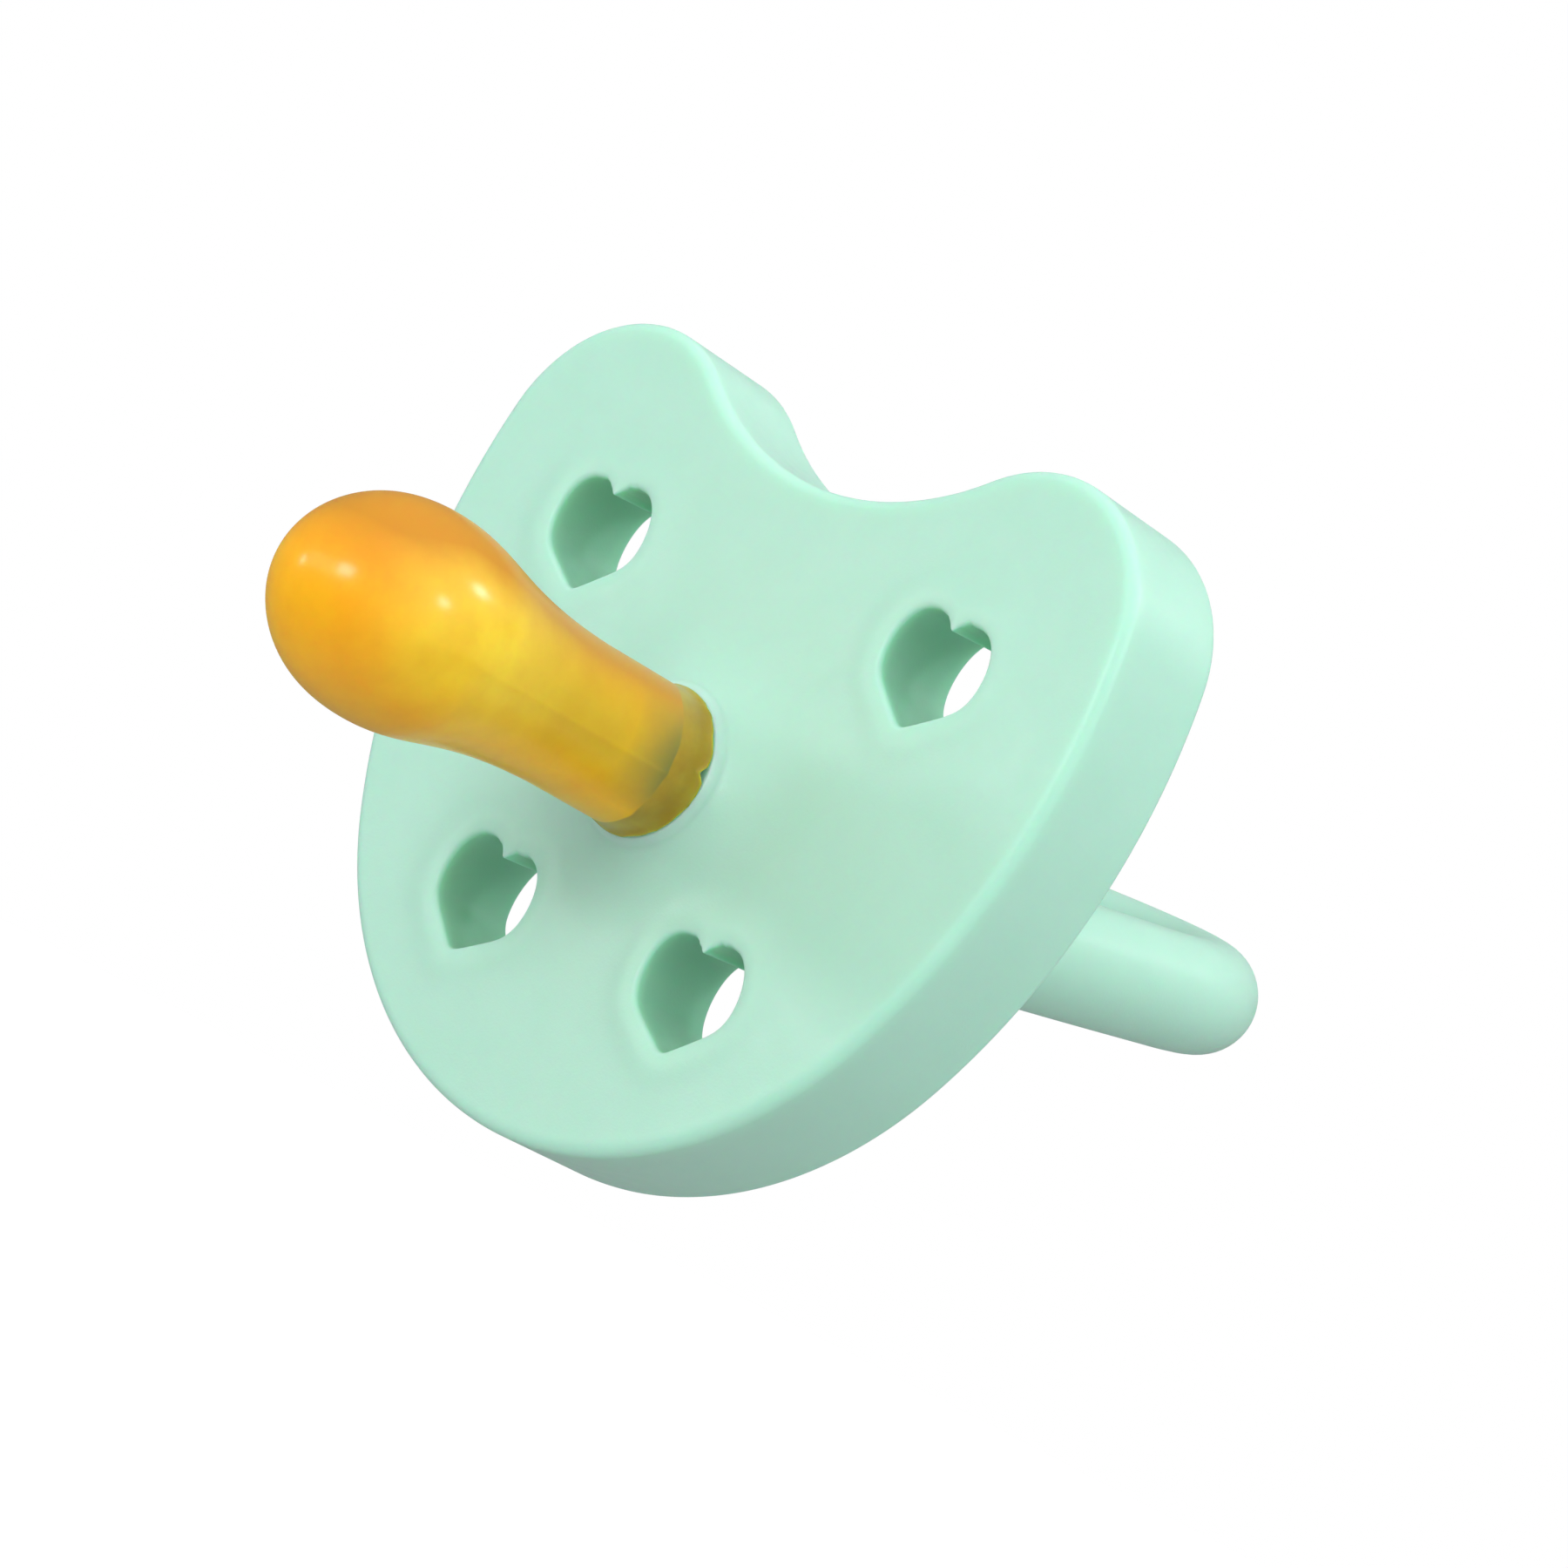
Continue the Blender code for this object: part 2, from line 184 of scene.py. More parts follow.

# Mint rubber: clouded between two tints. Deep in a vent or at a root it turns a darker, deeper
# green as painted shade, by a depth stored on each point.
MINT = (0.43, 0.71, 0.59)
MINT_CLOUD = (0.415, 0.70, 0.575)
CORE_CLOUD = (0.41, 0.69, 0.57)
SHADE_DEPTH = "depth"
SHADED_MINT = (0.33, 0.69, 0.50)

# Latex: deeper amber above, lighter below, painted light as yellow bands down both sides at the
# mould lines, the painted shade of the stub inside the neck, and the skirt over the stub's
# foot.
LATEX_UPPER = (0.54, 0.23, 0.0)
LATEX_LOWER = (1.0, 0.45, 0.002)
LATEX_SIDE_GLOW = (0.87, 0.59, 0.025)
LATEX_NECK_SIDE_GLOW = (0.66, 0.42, 0.01)
LATEX_SHADE = (0.20, 0.19, 0.045)
LATEX_SKIRT = (0.47, 0.31, 0.02)
LATEX_SKIRT_DARK = (0.38, 0.23, 0.012)
LATEX_MOTTLE = 0.24
AMBER_FADE_HEIGHT = 3.4 * MM
SIDE_GLOW_SPAN = (0.74, 1.08)
TIP_SPAN = (1.5 * MM, 5.0 * MM)
NECK_SPAN = (11.0 * MM, 18.0 * MM)
SHADE_SPAN = (4.6 * MM, 1.2 * MM)
SHADE_SHARE = 0.9
SKIRT_WAVE = 0.9 * MM
SKIRT_SLANT = 1.0 * MM
SKIRT_BLUR = 0.15 * MM

# Noise, in cycles per metre.
CLOUD_SCALE = 260.0
MOTTLE_SCALE = 430.0
BLOTCH_SCALE = 600.0
PATCH_SCALE = 900.0
SKIN_SCALE = 1500.0
GRAIN_SCALE = 7000.0

# Camera, as an orbit round a point near the middle of the object.
CAMERA_AIM = Vector((0.8 * MM, 0.6 * MM, 2.5 * MM))
CAMERA_AZIMUTH = math.radians(43.98)
CAMERA_ELEVATION = math.radians(-3.44)
CAMERA_ROLL = math.radians(27.13)
CAMERA_DISTANCE = 328.6 * MM
CAMERA_LENS = 140.0

# Studio: an even dim sky with soft bright patches, each (azimuth, elevation, strength).
SKY_BASE = 0.24
SKY_PATCHES = (
    (-35.0, 10.0, 0.24),
    (-10.0, 50.0, 0.56),
    (60.0, 10.0, 0.60),
    (100.0, 15.0, 0.22),
    (100.0, 50.0, 0.86),
    (0.0, 90.0, 0.42),
    (0.0, -90.0, 0.62),
)
SKY_FALL = 3.0

# Softboxes round the object: (name, azimuth, elevation, width, height, power).
SOFTBOXES = (
    ("front_box", 14.0, 11.0, 0.13, 0.10, 0.64),
    ("front_strip", -10.0, 7.0, 0.42, 0.14, 0.36),
    ("front_left_box", -39.0, 2.0, 0.06, 0.06, 0.18),
    ("right_box", 100.0, 25.0, 0.065, 0.065, 0.33),
    ("far_right_box", 139.0, 43.0, 0.06, 0.06, 0.34),
)
SOFTBOX_DISTANCE = 0.5
FLOOR_GREY = 0.6
FLOOR_GLOW = 0.55
FLOOR_DROP = 38.0 * MM
DOME_RADIUS = 2.0


# ---------------------------------------------------------------- mesh helpers


def orbit(azimuth, elevation):
    """Unit vector towards a place; azimuth 0 is in front, at -Y, and 90 degrees is at +X."""
    level = math.cos(elevation)
    return Vector((math.sin(azimuth) * level, -math.cos(azimuth) * level, math.sin(elevation)))


def arc(centre, radius, start, end, steps):
    """Points and outward normals along an arc, without its first point."""
    angles = start + (end - start) * np.arange(1, steps + 1) / steps
    normals = np.column_stack((np.cos(angles), np.sin(angles)))
    return np.asarray(centre) + radius * normals, normals


def smoothstep(low, high, value):
    """0 below low, 1 above high and an easy curve between, on numbers or arrays."""
    share = np.clip((value - low) / (high - low), 0.0, 1.0)
    return share * share * (3.0 - 2.0 * share)


def raised(flat, y):
    """X-Z points, each placed at its own Y."""
    return np.column_stack((flat[:, 0], y, flat[:, 1]))


def nearest(points, loop):
    """Distance from each point to the nearest point of a dense loop."""
    gaps = points[:, None, :] - loop[None, :, :]
    return np.sqrt((gaps * gaps).sum(axis=2)).min(axis=1)


def inside(points, loop):
    """Which points lie inside a closed loop, by counting crossings."""
    x, y = points[:, 0:1], points[:, 1:2]
    x1, y1 = loop[:, 0], loop[:, 1]
    x2, y2 = np.roll(x1, -1), np.roll(y1, -1)
    spans = (y1 > y) != (y2 > y)
    with np.errstate(divide="ignore", invalid="ignore"):
        crossing = x1 + (y - y1) * (x2 - x1) / (y2 - y1)
    return ((spans & (x < crossing)).sum(axis=1) % 2) == 1


class Skin:
    """Points and faces of one closed mesh, gathered ring by ring."""

    def __init__(self):
        self.points = []
        self.faces = []
        self.shade_depths = []

    def ring(self, points, depth=0.0):
        """Add points, all of one depth, and return their indices."""
        first = len(self.points)
        self.points.extend(tuple(float(value) for value in point) for point in points)
        self.shade_depths.extend([depth] * (len(self.points) - first))
        return list(range(first, len(self.points)))

    def loft(self, rings):
        """Join closed rings, one after the other, with quads."""
        for near, far in zip(rings, rings[1:]):
            for index in range(len(near)):
                after = (index + 1) % len(near)
                self.faces.append((near[index], near[after], far[after], far[index]))

    def close(self, ring, point):
        """Close a ring with a fan of triangles to one point."""
        apex = self.ring([point])[0]
        for index in range(len(ring)):
            self.faces.append((ring[index], ring[(index + 1) % len(ring)], apex))

    def fill(self, outer, holes, extra):
        """Triangulate between an outer ring and some holes, through extra points."""
        added = self.ring(extra)
        indices = list(outer)
        edges = loop_edges(0, len(outer))
        for hole in holes:
            edges += loop_edges(len(indices), len(hole))
            indices += hole
        indices += added
        flat = np.array([(self.points[i][0], self.points[i][2]) for i in indices])
        placed = [Vector(point) for point in flat / MM]
        _, _, faces, origins, _, _ = geometry.delaunay_2d_cdt(placed, edges, [], 0, 1e-7)
        corners = np.array([[origins[corner][0] for corner in face] for face in faces])
        middles = flat[corners].mean(axis=1)
        kept = inside(middles, flat[: len(outer)])
        first = len(outer)
        for hole in holes:
            kept &= ~inside(middles, flat[first : first + len(hole)])
            first += len(hole)
        for face in corners[kept]:
            self.faces.append(tuple(indices[corner] for corner in face))

    def build(self, name, material):
        """Make the object, with outward faces and smooth shading."""
        mesh = bpy.data.meshes.new(name)
        mesh.from_pydata(self.points, [], self.faces)
        depth = mesh.attributes.new(SHADE_DEPTH, "FLOAT", "POINT")
        depth.data.foreach_set("value", self.shade_depths)
        builder = bmesh.new()
        builder.from_mesh(mesh)
        loose = [vert for vert in builder.verts if not vert.link_faces]
        bmesh.ops.delete(builder, geom=loose, context="VERTS")
        bmesh.ops.recalc_face_normals(builder, faces=builder.faces)
        builder.to_mesh(mesh)
        builder.free()
        mesh.shade_smooth()
        mesh.materials.append(material)
        item = bpy.data.objects.new(name, mesh)
        bpy.context.scene.collection.objects.link(item)
        return item


def loop_edges(first, count):
    """Edges of a closed loop whose points are numbered from first."""
    return [(first + index, first + (index + 1) % count) for index in range(count)]


# ---------------------------------------------------------------- shield


def arc_steps(radius, angle):
    """How many steps of the outline's length an arc takes."""
    return max(2, math.ceil(abs(radius * angle) / OUTLINE_STEP))


def shield_outline():
    """The closed front outline and its outward normals, in X and Z."""
    notch = np.array((0.0, NOTCH_FLOOR + NOTCH_RADIUS))
    reach = np.array((math.sin(NOTCH_ANGLE), -math.cos(NOTCH_ANGLE)))
    lobe = notch + (NOTCH_RADIUS + LOBE_RADIUS) * reach
    handover = np.array((math.cos(LOBE_END), math.sin(LOBE_END)))
    side = lobe - (SIDE_RADIUS - LOBE_RADIUS) * handover
    chin_start = -math.acos(-side[0] / (SIDE_RADIUS - CHIN_RADIUS))
    towards_chin = np.array((math.cos(chin_start), math.sin(chin_start)))
    chin = side + (SIDE_RADIUS - CHIN_RADIUS) * towards_chin
    down = -0.5 * math.pi
    lobe_start = 0.5 * math.pi + NOTCH_ANGLE
    spans = (
        (notch, NOTCH_RADIUS, down, down + NOTCH_ANGLE, -1.0),
        (lobe, LOBE_RADIUS, lobe_start, LOBE_END, 1.0),
        (side, SIDE_RADIUS, LOBE_END, chin_start, 1.0),
        (chin, CHIN_RADIUS, chin_start, down, 1.0),
    )
    points, normals = [], []
    for centre, radius, start, end, outward in spans:
        spots, ways = arc(centre, radius, start, end, arc_steps(radius, end - start))
        points.append(spots)
        normals.append(outward * ways)
    half = np.vstack(points)
    half_normals = np.vstack(normals)
    flip = np.array((-1.0, 1.0))
    top = np.array(((0.0, NOTCH_FLOOR),))
    up = np.array(((0.0, 1.0),))
    whole = np.vstack((half, half[-2::-1] * flip, top))
    return whole, np.vstack((half_normals, half_normals[-2::-1] * flip, up))


OUTLINE, OUTLINE_NORMALS = shield_outline()


def heart_base():
    """One dense heart about its own centre, softly rounded at the cleft and the tip."""
    lobe = np.array(HEART_LOBE_CENTRE)
    shoulder = np.array((math.cos(HEART_SIDE_ARC), math.sin(HEART_SIDE_ARC)))
    side = lobe - (HEART_SIDE_RADIUS - HEART_LOBE_RADIUS) * shoulder
    cleft = math.acos(-lobe[0] / HEART_LOBE_RADIUS)
    top = np.array(((0.0, lobe[1] + HEART_LOBE_RADIUS * math.sin(cleft)),))
    crown, _ = arc(lobe, HEART_LOBE_RADIUS, cleft, HEART_SIDE_ARC, 40)
    cheek, _ = arc(side, HEART_SIDE_RADIUS, HEART_SIDE_ARC, -HEART_SIDE_ARC, 40)
    right = np.vstack((crown, cheek))
    tip = np.array(((0.0, HEART_TIP),))
    loop = np.vstack((top, right, tip, right[::-1] * np.array((-1.0, 1.0)), top))
    lengths = np.concatenate(((0.0,), np.cumsum(np.hypot(*np.diff(loop, axis=0).T))))
    marks = np.linspace(0.0, lengths[-1], HEART_POINTS, endpoint=False)
    even = np.column_stack([np.interp(marks, lengths, loop[:, axis]) for axis in (0, 1)])
    share = np.arange(HEART_POINTS) / HEART_POINTS
    far = np.minimum(share, 1.0 - share)[:, None]
    ease = HEART_EASE * smoothstep(0.02, 0.10, far) * (1.0 - 0.8 * smoothstep(0.44, 0.49, far))
    for _ in range(HEART_EASING):
        middle = 0.5 * (np.roll(even, 1, axis=0) + np.roll(even, -1, axis=0))
        even = even + (0.08 + ease) * (middle - even)
    return even


HEART = heart_base()


def loop_normals(loop):
    """Outward normals of a closed loop that runs clockwise from its top."""
    along = np.roll(loop, -1, axis=0) - np.roll(loop, 1, axis=0)
    along /= np.hypot(along[:, 0], along[:, 1])[:, None]
    return np.column_stack((-along[:, 1], along[:, 0]))


def torn_edge(seed):
    """Small nicks beside the cleft, where the rubber tore as its core was pulled."""
    share = np.arange(HEART_POINTS) / HEART_POINTS
    window = np.zeros(HEART_POINTS)
    for place, width, depth in NICKS:
        window += depth * np.exp(-(((share - place) / width) ** 2))
    ripple = np.array([noise.noise(Vector((40.0 * s, seed, 0.5))) for s in share])
    jag = np.array([noise.noise(Vector((95.0 * s, seed, 7.5))) for s in share])
    return window * (0.34 * ripple + 0.22 * jag) * MM


def front_height(flat, hearts):
    """How far forward the front face stands over each X-Z point, as a Y coordinate."""
    radius = np.hypot(flat[:, 0], flat[:, 1])
    amount = np.clip((BOSS_RADIUS - radius) / (BOSS_RADIUS - BOSS_TOP_RADIUS), 0.0, 1.0)
    rise = (FRONT_Y - BOSS_TOP_Y) * amount**2
    rise = rise + SEAT_RISE * smoothstep(SEAT_RADIUS + SEAT_SLOPE, SEAT_RADIUS, radius)
    for loop in hearts:
        gap = nearest(flat, loop)
        rise = rise + SWELL_HEIGHT * np.exp(-(((gap - SWELL_MIDDLE) / SWELL_WIDTH) ** 2))
    return FRONT_Y - rise


def back_height(flat):
    """The hollow back as a Y coordinate: a proud rim, a soft bank and a flat floor."""
    depth = nearest(flat, OUTLINE)
    bank = smoothstep(HOLLOW_RIM, HOLLOW_RIM + 1.3 * HOLLOW_SLOPE, depth)
    return RIM_Y + (FLOOR_Y - RIM_Y) * bank


def heart_loop(place, side, scale, outset, nicks):
    """The heart in place, grown by a scale for each point and moved outwards by outset."""
    across, up, lean = place
    turn = -lean * side
    moved = np.reshape(outset + nicks, (-1, 1))
    loop = HEART * np.reshape(scale, (-1, 1)) + loop_normals(HEART) * moved
    x = loop[:, 0] * math.cos(turn) - loop[:, 1] * math.sin(turn)
    z = loop[:, 0] * math.sin(turn) + loop[:, 1] * math.cos(turn)
    return np.column_stack((x + side * across, z + up))


def heart_rings(place, side, seed, mouths):
    """Rings of one vent from its front lip through the drafted wall to its back lip."""
    draft = (HEART_BACK_SCALE - 1.0) / (RIM_Y - FRONT_Y)
    nicks = torn_edge(seed)
    soft = 0.35 + 0.65 * smoothstep(0.0, 1.2 * MM, nearest(HEART, HEART[:1]))
    lip = HEART_LIP * soft
    outer = heart_loop(place, side, 1.0, lip, 0.6 * nicks)
    front = front_height(outer, mouths)
    rings = []
    for step in range(VENT_LIP_STEPS + 1):
        angle = 0.5 * math.pi * step / VENT_LIP_STEPS
        outset = lip * (1.0 - math.sin(angle))
        flat = heart_loop(place, side, 1.0, outset, nicks * (0.6 + 0.4 * math.sin(angle)))
        rings.append(raised(flat, front + lip * (1.0 - math.cos(angle))))
    start = front + lip
    back_lip = HEART_BACK_LIP * soft
    back = back_height(heart_loop(place, side, HEART_BACK_SCALE, back_lip, 0.0))
    end = back - back_lip
    for step in range(1, VENT_WALL_STEPS):
        share = step / VENT_WALL_STEPS
        y = start + (end - start) * share
        scale = 1.0 + draft * (y - FRONT_Y)
        flat = heart_loop(place, side, scale, 0.0, nicks * (1.0 - share) ** 2)
        rings.append(raised(flat, y))
    for step in range(VENT_BACK_STEPS + 1):
        angle = 0.5 * math.pi * step / VENT_BACK_STEPS
        y = end + back_lip * math.sin(angle)
        scale = 1.0 + draft * (y - FRONT_Y)
        flat = heart_loop(place, side, scale, back_lip * (1.0 - math.cos(angle)), 0.0)
        rings.append(raised(flat, y))
    return rings


def outline_levels():
    """(inset, y) of each ring of the shield's side, front to back."""
    levels = []
    for step in range(EDGE_STEPS + 1):
        angle = 0.5 * math.pi * step / EDGE_STEPS
        inset = FRONT_EDGE * (1.0 - math.sin(angle))
        levels.append((inset, FRONT_Y + FRONT_EDGE * (1.0 - math.cos(angle))))
    front_wall, back_wall = FRONT_Y + FRONT_EDGE, RIM_Y - BACK_EDGE
    for step in range(1, WALL_STEPS):
        share = step / WALL_STEPS
        levels.append((SIDE_DRAFT * share, front_wall + (back_wall - front_wall) * share))
    for step in range(EDGE_STEPS + 1):
        angle = 0.5 * math.pi * step / EDGE_STEPS
        inset = SIDE_DRAFT + BACK_EDGE * (1.0 - math.cos(angle))
        levels.append((inset, back_wall + BACK_EDGE * math.sin(angle)))
    return levels


def outline_ring(inset, y):
    """The outline, moved inwards by inset, at one Y."""
    return raised(OUTLINE - inset * OUTLINE_NORMALS, np.full(len(OUTLINE), y))


def face_points(hearts, edge, boss):
    """Points spread over a face, clear of its outline and of the vents; denser on the boss."""
    wide, high = FACE_REACH
    rows = np.arange(-high, high, FACE_GRID * math.sqrt(0.75))
    spots = []
    for index, z in enumerate(rows):
        shift = 0.5 * FACE_GRID * (index % 2)
        for x in np.arange(-wide, wide, FACE_GRID):
            spots.append((x + shift, z))
    spots = np.array(spots)
    if boss:
        spots = spots[np.hypot(spots[:, 0], spots[:, 1]) > BOSS_RADIUS + BOSS_MARGIN]
        for radius in np.arange(BOSS_MARGIN, BOSS_RADIUS + 0.5 * MM, BOSS_RING_STEP):
            count = max(8, int(2.0 * math.pi * radius / (0.5 * MM)))
            angles = 2.0 * math.pi * np.arange(count) / count
            ring = radius * np.column_stack((np.cos(angles), np.sin(angles)))
            spots = np.vstack((spots, ring))
    for inset in edge:
        spots = np.vstack((spots, OUTLINE - inset * OUTLINE_NORMALS))
    for loop in hearts:
        for outset in MOUTH_OUTSETS:
            spots = np.vstack((spots, loop + outset * loop_normals(loop)))
    spots = spots[inside(spots, OUTLINE)]
    kept = nearest(spots, OUTLINE) > edge[0] - 0.05 * MM
    for loop in hearts:
        kept &= ~inside(spots, loop)
        kept &= nearest(spots, loop) > 0.12 * MM
    return thinned(spots[kept], 0.1 * MM)


def thinned(spots, spacing):
    """Drop points that share a cell of a fine grid, so that no two are almost the same."""
    cells = np.round(spots / spacing).astype(int)
    _, first = np.unique(cells, axis=0, return_index=True)
    return spots[np.sort(first)]


def build_shield(material):
    """The whole moulding: side, front with boss and swells, hollow back and four vents."""
    skin = Skin()
    side = [skin.ring(outline_ring(inset, y)) for inset, y in outline_levels()]
    skin.loft(side)
    places = [(place, wing) for place in (UPPER_HEART, LOWER_HEART) for wing in (-1, 1)]
    mouths = [heart_loop(place, wing, 1.0, 0.0, 0.0) for place, wing in places]
    front_holes, back_holes, front_loops, back_loops = [], [], [], []
    for seed, (place, wing) in enumerate(places):
        rings = heart_rings(place, wing, seed, mouths)
        # Painted shade: each vent ring's depth, growing from the front lip into the wall.
        shade_depths = smoothstep(1.0, 7.0, np.arange(len(rings)))
        loops = [skin.ring(ring, float(depth)) for ring, depth in zip(rings, shade_depths)]
        skin.loft(loops)
        front_holes.append(loops[0])
        back_holes.append(loops[-1])
        front_loops.append(rings[0][:, [0, 2]])
        back_loops.append(rings[-1][:, [0, 2]])
    flat = face_points(front_loops, (FRONT_EDGE + 0.2 * MM, FRONT_EDGE + 0.7 * MM), True)
    skin.fill(side[0], front_holes, raised(flat, front_height(flat, mouths)))
    inset = SIDE_DRAFT + BACK_EDGE
    shares = (-0.1, 0.2, 0.45, 0.7, 0.95, 1.2, 1.4)
    bank = [HOLLOW_RIM + share * HOLLOW_SLOPE for share in shares]
    flat = face_points(back_loops, (inset + 0.2 * MM, *bank), False)
    skin.fill(side[-1], back_holes, raised(flat, back_height(flat)))
    return skin.build("shield_moulding", material)


# ---------------------------------------------------------------- teat


def teat_profile(offset):
    """(radius, y) from the neck to just before the tip, moved inwards by offset."""
    neck, bulb = NECK_RADIUS - offset, BULB_FULLNESS * BULB_RADIUS - offset
    flare = FLARE_RADIUS + offset
    nose = BULB_NOSE - offset
    front = TIP_Y + BULB_NOSE
    rear = front + BULB_MIDDLE
    rise = math.sqrt((bulb + flare) ** 2 - (neck + flare) ** 2)
    turn = math.atan2(rise, neck + flare)
    profile = []
    for step in range(46):
        angle = turn * step / 45
        radius = neck + flare - flare * math.cos(angle)
        profile.append((radius, rear + rise - flare * math.sin(angle)))
    for step in range(1, 7):
        angle = turn * (1.0 - step / 6)
        profile.append((bulb * math.cos(angle), rear + bulb * math.sin(angle)))
    for step in range(1, 6):
        profile.append((bulb, rear + (front - rear) * step / 6))
    for step in range(34):
        angle = 0.5 * math.pi * step / 34
        profile.append((bulb * math.cos(angle), front - nose * math.sin(angle)))
    return eased_profile(np.array(profile))


def eased_profile(profile):
    """The same profile in even steps, with its changes of curvature smoothed out."""
    lengths = np.concatenate(((0.0,), np.cumsum(np.hypot(*np.diff(profile, axis=0).T))))
    marks = np.linspace(0.0, lengths[-1], PROFILE_POINTS)
    even = np.column_stack([np.interp(marks, lengths, profile[:, axis]) for axis in (0, 1)])
    hold = smoothstep(1.0, 0.75, np.arange(PROFILE_POINTS) / (PROFILE_POINTS - 1))[1:-1, None]
    for _ in range(PROFILE_EASING):
        middle = 0.5 * (even[2:] + even[:-2])
        even[1:-1] += 0.8 * hold * (middle - even[1:-1])
    return even


SIDES = 2.0 * math.pi * np.arange(TEAT_SIDES) / TEAT_SIDES


def turned_ring(radius, y):
    """A ring round the teat's axis; radius and y may vary from side to side."""
    radius = np.broadcast_to(radius, SIDES.shape)
    y = np.broadcast_to(y, SIDES.shape)
    return np.column_stack((radius * np.cos(SIDES), y, radius * np.sin(SIDES)))


def ripples(radius, seed):
    """Noise round the teat's axis; a larger radius makes finer ripples."""
    spots = [(radius * math.cos(angle), radius * math.sin(angle), seed) for angle in SIDES]
    return np.array([noise.noise(Vector(spot)) for spot in spots])


def round_gap(middle):
    """Angle from a place on the teat's rings to each of their points, at most half a turn."""
    return np.angle(np.exp(1j * (SIDES - middle)))


def foot_lift():
    """How far the ragged foot of the latex stays from the boss, side by side."""
    lift = FOOT_LIFT + FOOT_WAVE * ripples(1.7, 3.3) + FOOT_FRAY * ripples(9.0, 8.1)
    for middle, width, depth in FOOT_NOTCHES:
        lift += depth * np.exp(-((round_gap(middle) / width) ** 2))
    return np.clip(lift, 0.0, None) * MM


def mould_line():
    """A fine ridge along both sides of the teat."""
    ridge = np.zeros(TEAT_SIDES)
    for middle in MOULD_ANGLES:
        ridge += np.exp(-((round_gap(middle) / 0.045) ** 2))
    return ridge * MOULD_RIDGE


def build_teat(material):
    """The dipped latex skin: outer wall, closed tip, inner wall and the ragged foot."""
    skin = Skin()
    lift, ridge = foot_lift(), mould_line()
    foot = BOSS_TOP_Y + 0.02 * MM - lift
    flared = NECK_RADIUS + SKIRT_FLARE
    start = BOSS_TOP_Y - SKIRT_HEIGHT
    rings = []
    for share, curl in SKIRT_CURL:
        y = foot + (start - foot) * share
        radius = NECK_RADIUS + (flared - NECK_RADIUS) * curl
        rings.append(turned_ring(radius, y))
    outer = teat_profile(0.0)
    for step in range(12):
        y = start + (outer[0][1] - start) * step / 12
        rings.append(turned_ring(NECK_RADIUS + ridge * min(1.0, step / 3), y))
    for radius, y in outer:
        fade = smoothstep(TIP_Y + 0.6 * BULB_RADIUS, TIP_Y + 1.6 * BULB_RADIUS, y)
        rings.append(turned_ring(radius + ridge * fade, y))
    outside = [skin.ring(ring) for ring in rings]
    skin.loft(outside)
    skin.close(outside[-1], (0.0, TIP_Y, 0.0))
    inner = teat_profile(TEAT_WALL)
    shoulder = BOSS_TOP_Y - CORE_BAND
    throat = NECK_RADIUS - TEAT_WALL
    skirt = NECK_RADIUS - SKIRT_WALL
    rings = [turned_ring(radius, y) for radius, y in reversed(inner)]
    entry = inner[0][1]
    for step in range(1, 5):
        rings.append(turned_ring(throat, entry + (shoulder - CORE_SHOULDER - entry) * step / 4))
    for step in range(1, 6):
        radius = throat + (skirt - throat) * smoothstep(0.0, 1.0, step / 5)
        rings.append(turned_ring(radius, shoulder - CORE_SHOULDER * (1.0 - step / 5)))
    rings.append(turned_ring(skirt, 0.5 * (shoulder + foot)))
    rings.append(turned_ring(flared - SKIRT_WALL, foot))
    inside_rings = [skin.ring(ring) for ring in rings]
    skin.close(inside_rings[0], (0.0, TIP_Y + TEAT_WALL, 0.0))
    skin.loft(inside_rings)
    skin.loft([inside_rings[-1], outside[0]])
    return skin.build("teat_skin", material)


def build_core(material):
    """The rubber stub inside the neck: a broad foot under the latex and a slimmer nose."""
    skin = Skin()
    foot_radius = NECK_RADIUS - SKIRT_WALL - 0.06 * MM
    shoulder = BOSS_TOP_Y - CORE_BAND + 0.1 * MM
    profile = [(foot_radius + 0.25 * MM, BOSS_TOP_Y + 0.5 * MM)]
    for step in range(7):
        share = step / 6
        profile.append((foot_radius, BOSS_TOP_Y + (shoulder - BOSS_TOP_Y) * share))
    for step in range(1, 6):
        radius = foot_radius + (CORE_RADIUS - foot_radius) * smoothstep(0.0, 1.0, step / 5)
        profile.append((radius, shoulder - 0.45 * MM * step / 5))
    start = CORE_NOSE_Y + CORE_RADIUS
    profile.append((CORE_RADIUS, 0.5 * (start + profile[-1][1])))
    for step in range(16):
        angle = 0.5 * math.pi * step / 16
        profile.append((CORE_RADIUS * math.cos(angle), start - CORE_RADIUS * math.sin(angle)))
    rings = [skin.ring(turned_ring(radius, y)) for radius, y in profile]
    skin.loft(rings)
    skin.close(rings[-1], (0.0, CORE_NOSE_Y, 0.0))
    skin.close(rings[0], (0.0, BOSS_TOP_Y + 0.5 * MM, 0.0))
    return skin.build("neck_core", material)


# ---------------------------------------------------------------- handle


